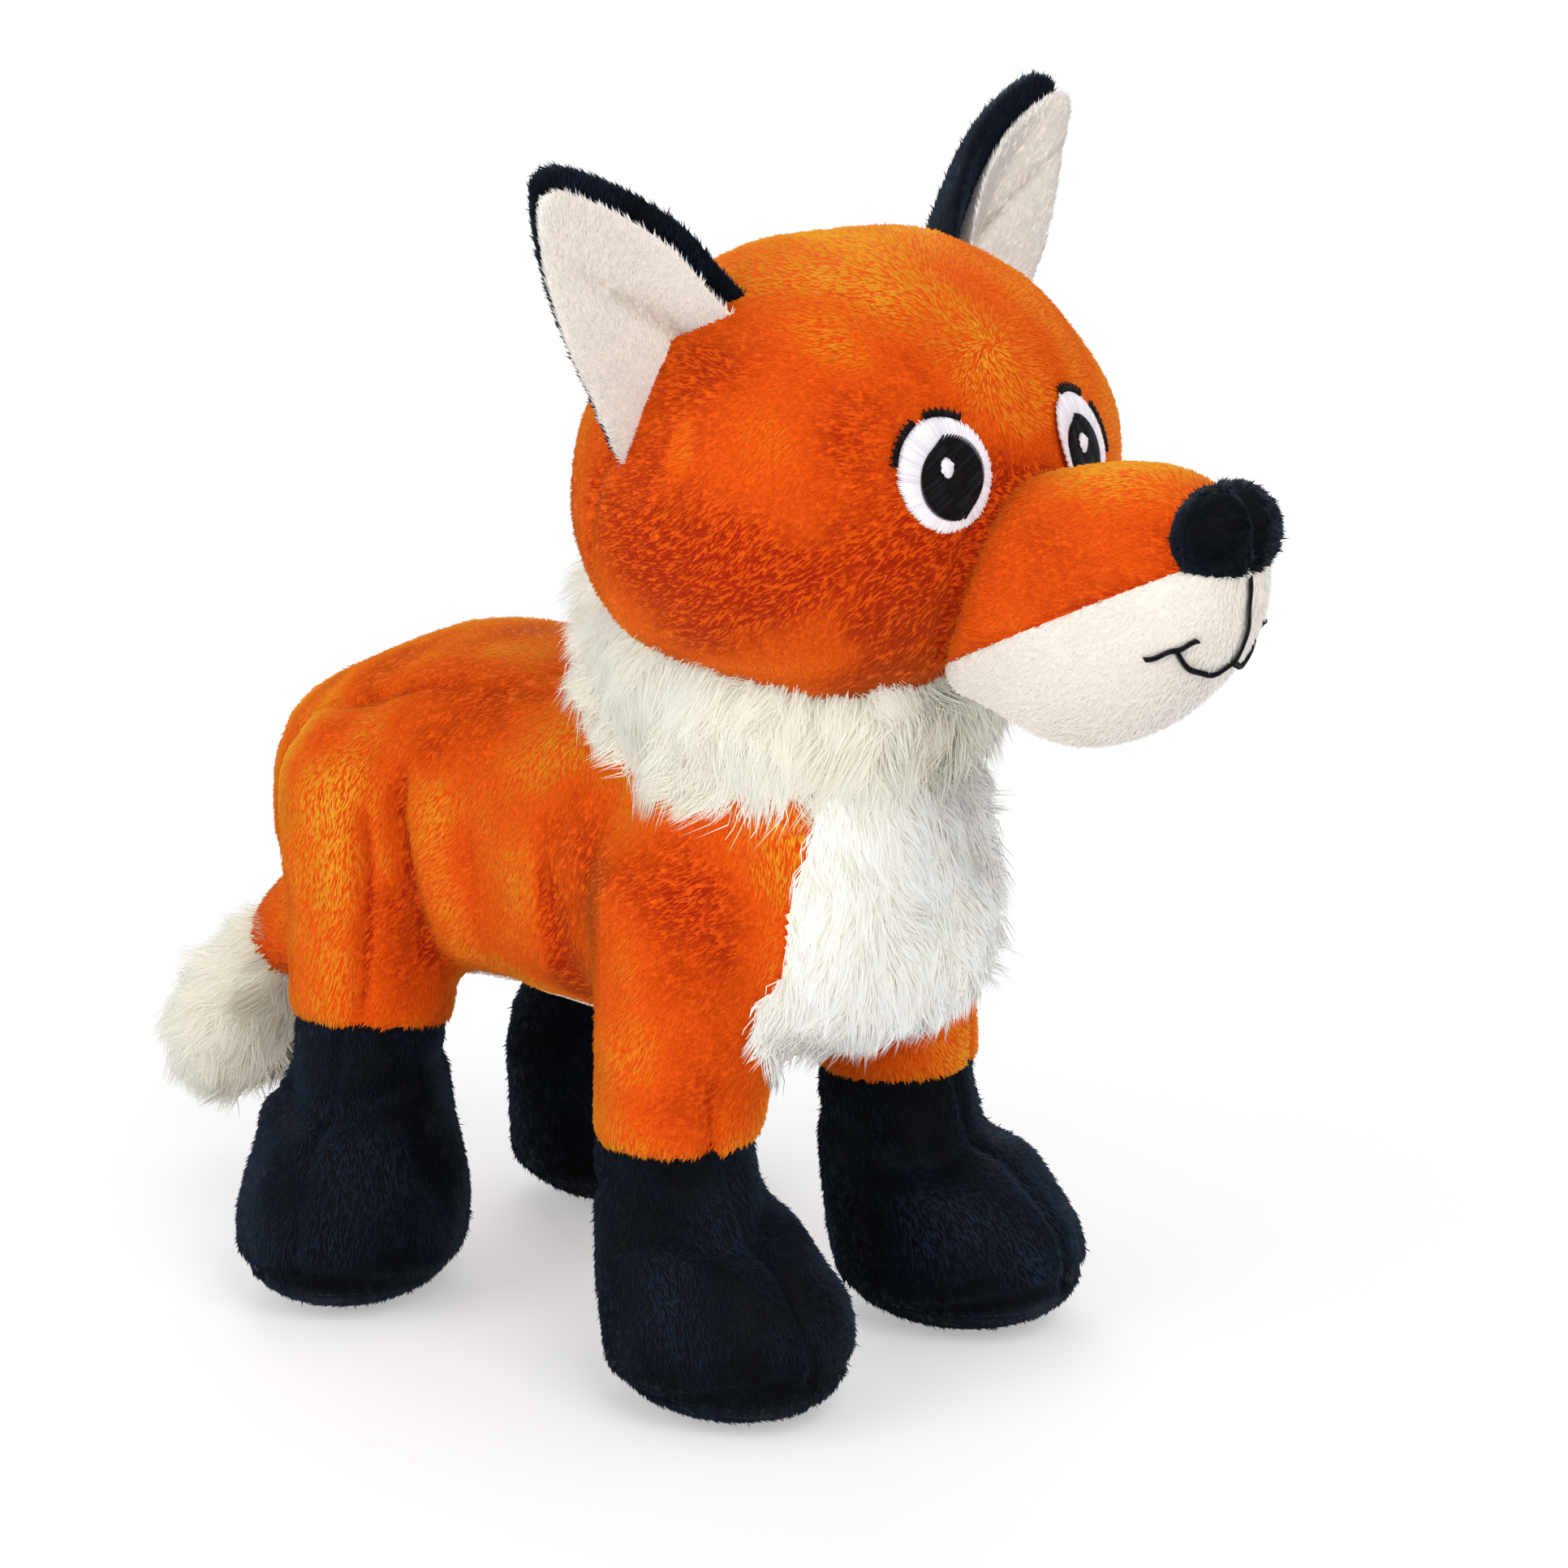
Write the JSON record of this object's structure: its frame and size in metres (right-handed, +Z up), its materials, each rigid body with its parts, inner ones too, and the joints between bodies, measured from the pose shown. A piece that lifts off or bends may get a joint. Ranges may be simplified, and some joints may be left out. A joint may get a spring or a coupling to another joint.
{
  "type": "plush fox",
  "caption": "Standing stuffed fox toy with long cream ruff and chest, black boots, cupped ears, a padded muzzle and a bushy two-part tail.",
  "frame": {"origin": "on the floor, under the middle of the bounding box", "axes": "+Z up; the fox looks along -Y, its right side is -X"},
  "size_m": [0.1738, 0.354, 0.2953],
  "materials": {
    "orange_plush": "short dense plush",
    "cream_pile": "long shaggy pile",
    "cream_plush": "short soft plush",
    "black_plush": "short dense plush",
    "white_thread": "satin-stitch embroidery",
    "black_thread": "satin-stitch embroidery",
    "stuffing": "loose fibre filling"
  },
  "bodies": {
    "torso": {"torso_side_right": "orange_plush", "torso_side_left": "orange_plush", "back_panel": "orange_plush", "belly_panel": "cream_plush", "chest_bib": "cream_pile", "torso_filling": "stuffing", "leg_sleeve_front_right": "orange_plush", "sock_front_right": "black_plush", "sole_front_right": "black_plush", "leg_filling_front_right": "stuffing", "leg_sleeve_front_left": "orange_plush", "sock_front_left": "black_plush", "sole_front_left": "black_plush", "leg_filling_front_left": "stuffing", "leg_sleeve_hind_right": "orange_plush", "sock_hind_right": "black_plush", "sole_hind_right": "black_plush", "leg_filling_hind_right": "stuffing", "leg_sleeve_hind_left": "orange_plush", "sock_hind_left": "black_plush", "sole_hind_left": "black_plush", "leg_filling_hind_left": "stuffing"},
    "neck": {"neck_filling": "stuffing"},
    "head": {"face_panel": "orange_plush", "head_back_panel": "orange_plush", "head_filling": "stuffing", "muzzle_top": "orange_plush", "chin": "cream_plush", "muzzle_filling": "stuffing", "nose": "black_plush", "mouth_line": "black_thread", "eye_white_right": "white_thread", "eye_pupil_right": "black_thread", "eye_glint_right": "white_thread", "eyelash_right": "black_thread", "eye_white_left": "white_thread", "eye_pupil_left": "black_thread", "eye_glint_left": "white_thread", "eyelash_left": "black_thread", "ruff": "cream_pile"},
    "ear_right": {"ear_back_right": "black_plush", "ear_lining_right": "cream_plush"},
    "ear_left": {"ear_back_left": "black_plush", "ear_lining_left": "cream_plush"},
    "tail_root": {"tail_root_skin": "orange_plush", "tail_root_filling": "stuffing"},
    "tail_tip": {"tail_tip_skin": "cream_pile", "tail_tip_filling": "stuffing"}
  },
  "joints": [
    {"name": "head_turn", "type": "hinge", "parent": "torso", "child": "neck", "pos_m": [0, -0.03853, 0.132], "axis": [0, 0, 1], "range_deg": [-20, 20], "stiffness_Nm_per_rad": 1.5},
    {"name": "head_nod", "type": "hinge", "parent": "neck", "child": "head", "pos_m": [0, -0.03853, 0.132], "axis": [1, 0, 0], "range_deg": [-10, 10], "stiffness_Nm_per_rad": 2.5},
    {"name": "ear_fold_right", "type": "hinge", "parent": "head", "child": "ear_right", "pos_m": [-0.05, -0.05403, 0.2405], "axis": [0.4905, -0.5518, 0.6745], "range_deg": [-20, 20], "stiffness_Nm_per_rad": 0.05},
    {"name": "ear_fold_left", "type": "hinge", "parent": "head", "child": "ear_left", "pos_m": [0.05, -0.05403, 0.2405], "axis": [0.4905, 0.5518, -0.6745], "range_deg": [-20, 20], "stiffness_Nm_per_rad": 0.05},
    {"name": "tail_wag", "type": "hinge", "parent": "torso", "child": "tail_root", "pos_m": [0, 0.11847, 0.078], "axis": [0, 0, 1], "range_deg": [-25, 25], "stiffness_Nm_per_rad": 0.05},
    {"name": "tail_droop", "type": "hinge", "parent": "tail_root", "child": "tail_tip", "pos_m": [0, 0.14047, 0.06], "axis": [1, 0, 0], "range_deg": [-25, 25], "stiffness_Nm_per_rad": 0.05}
  ]
}
